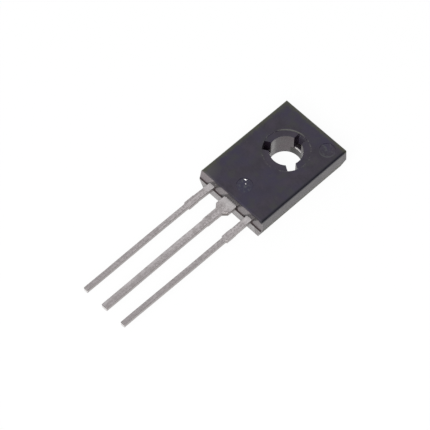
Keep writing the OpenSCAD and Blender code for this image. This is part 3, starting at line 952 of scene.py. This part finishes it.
def repaint(node, finish):
    """Gives a CAD node a better material in its own slots."""
    for material_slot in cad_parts[node].material_slots:
        material_slot.material = finish


# ---------------------------------------------------------------- studio

FLOOR_HALF, FLOOR_DROP = 0.6, 0.00001            # metres
FLOOR_CAMERA_SHARE, FLOOR_GLOSS_SHARE = 0.94, 0.8
FLOOR_GREY, WHITE = (0.9, 0.9, 0.9, 1), (1, 1, 1, 1)
SKY = (0.98, 0.99, 1.0, 1)
BRIGHT_SIDE, BRIGHT_SPAN = (-0.90, -0.20, 0.38), (-0.5, 0.3)
SURROUND_DIM, SURROUND_BRIGHT = 0.18, 0.60
KEY_PLACE, KEY_SIZE, KEY_POWER = (0.12, -0.22, 0.30), 0.25, 1.5    # metres and watts
LAMP_AIM = (0.0, -0.008, 0.0)


def floor_finish():
    """Matt and pale to the light, near white to the camera and in reflections."""
    finish = bpy.data.materials.new("studio_floor")
    finish.use_nodes = True
    tree = finish.node_tree
    tree.nodes.clear()
    path = tree.nodes.new("ShaderNodeLightPath")
    matt = add_node(tree, "ShaderNodeBsdfDiffuse", {"Color": FLOOR_GREY})
    glow = add_node(tree, "ShaderNodeEmission", {"Color": WHITE, "Strength": 1.0})
    seen = combine(tree, "MULTIPLY", path.outputs["Is Camera Ray"], FLOOR_CAMERA_SHARE)
    mirrored = either(tree, path.outputs["Is Glossy Ray"], path.outputs["Is Transmission Ray"])
    mirrored = combine(tree, "MULTIPLY", mirrored, FLOOR_GLOSS_SHARE)
    share = either(tree, seen, mirrored)
    mix = add_node(tree, "ShaderNodeMixShader", {0: share, 1: matt.outputs[0], 2: glow.outputs[0]})
    output = tree.nodes.new("ShaderNodeOutputMaterial")
    tree.links.new(mix.outputs[0], output.inputs["Surface"])
    return finish


def studio_floor():
    """A pale matt floor, white in view, which keeps the soft shadow of the part."""
    corners = [(sx * FLOOR_HALF, sy * FLOOR_HALF, -FLOOR_DROP)
               for sx, sy in ((-1, -1), (1, -1), (1, 1), (-1, 1))]
    mesh = bpy.data.meshes.new("floor")
    mesh.from_pydata(corners, [], [(0, 1, 2, 3)])
    mesh.materials.append(floor_finish())
    floor = bpy.data.objects.new("floor", mesh)
    bpy.context.scene.collection.objects.link(floor)


def studio_light():
    """A surround that is brighter towards BRIGHT_SIDE and white in view, and one soft lamp."""
    world = bpy.data.worlds.new("studio")
    bpy.context.scene.world = world
    world.use_nodes = True
    tree = world.node_tree
    tree.nodes.clear()
    ray = add_node(tree, "ShaderNodeLightPath")
    aim = tree.nodes.new("ShaderNodeTexCoord").outputs["Generated"]
    toward = vector_math(tree, "DOT_PRODUCT", aim, BRIGHT_SIDE).outputs["Value"]
    level = remap(tree, toward, *BRIGHT_SPAN, SURROUND_DIM, SURROUND_BRIGHT)
    tone = add_node(tree, "ShaderNodeBackground", {"Color": SKY, "Strength": level})
    white = add_node(tree, "ShaderNodeBackground", {"Color": WHITE, "Strength": 1.0})
    shares = {0: ray.outputs["Is Camera Ray"], 1: tone.outputs[0], 2: white.outputs[0]}
    mix = add_node(tree, "ShaderNodeMixShader", shares)
    output = tree.nodes.new("ShaderNodeOutputWorld")
    tree.links.new(mix.outputs[0], output.inputs["Surface"])
    add_lamp("key", KEY_PLACE, KEY_SIZE, KEY_POWER)


def add_lamp(name, place, size, power):
    """A square soft lamp of that size in metres, turned to the middle of the part."""
    data = bpy.data.lights.new(name, "AREA")
    data.shape, data.size, data.energy = "SQUARE", size, power
    lamp = bpy.data.objects.new(name, data)
    bpy.context.scene.collection.objects.link(lamp)
    lamp.location = place
    aim = Vector(LAMP_AIM) - Vector(place)
    lamp.rotation_euler = aim.to_track_quat("-Z", "Y").to_euler()


# ---------------------------------------------------------------- assembly

bpy.context.scene.view_settings.view_transform = "Standard"
place_camera()
studio_floor()
studio_light()

tin = dull_tin("matt_tin", worn=0.4)
left_lead = outer_lead("emitter_lead_formed", -PITCH, EMITTER_SEED, EMITTER_BEND, tin)
right_lead = outer_lead("base_lead_formed", PITCH, BASE_SEED, BASE_BEND, tin)
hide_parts("emitter_lead")
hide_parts("base_lead")
collector("collector_formed", dull_tin("worn_tin", worn=0.8))
bright_tin = plain_metal("bright_tin", BRIGHT_TIN, roughness=0.32, grain_mm=0.05, metallic=0.6)
plate_rims("plate_rims_bare", bright_tin)
mark_flakes("tin_flakes", bright_tin)

repaint("epoxy_case", moulded_epoxy())
repaint("silicon_die", bare_silicon())
repaint("die_solder", plain_metal("soft_solder", SOLDER_GREY, roughness=0.35, grain_mm=0.1))
wire_finish = plain_metal("drawn_aluminium", WIRE_GREY, roughness=0.3, grain_mm=0.05)
repaint("emitter_bond_wire", wire_finish)
repaint("base_bond_wire", wire_finish)
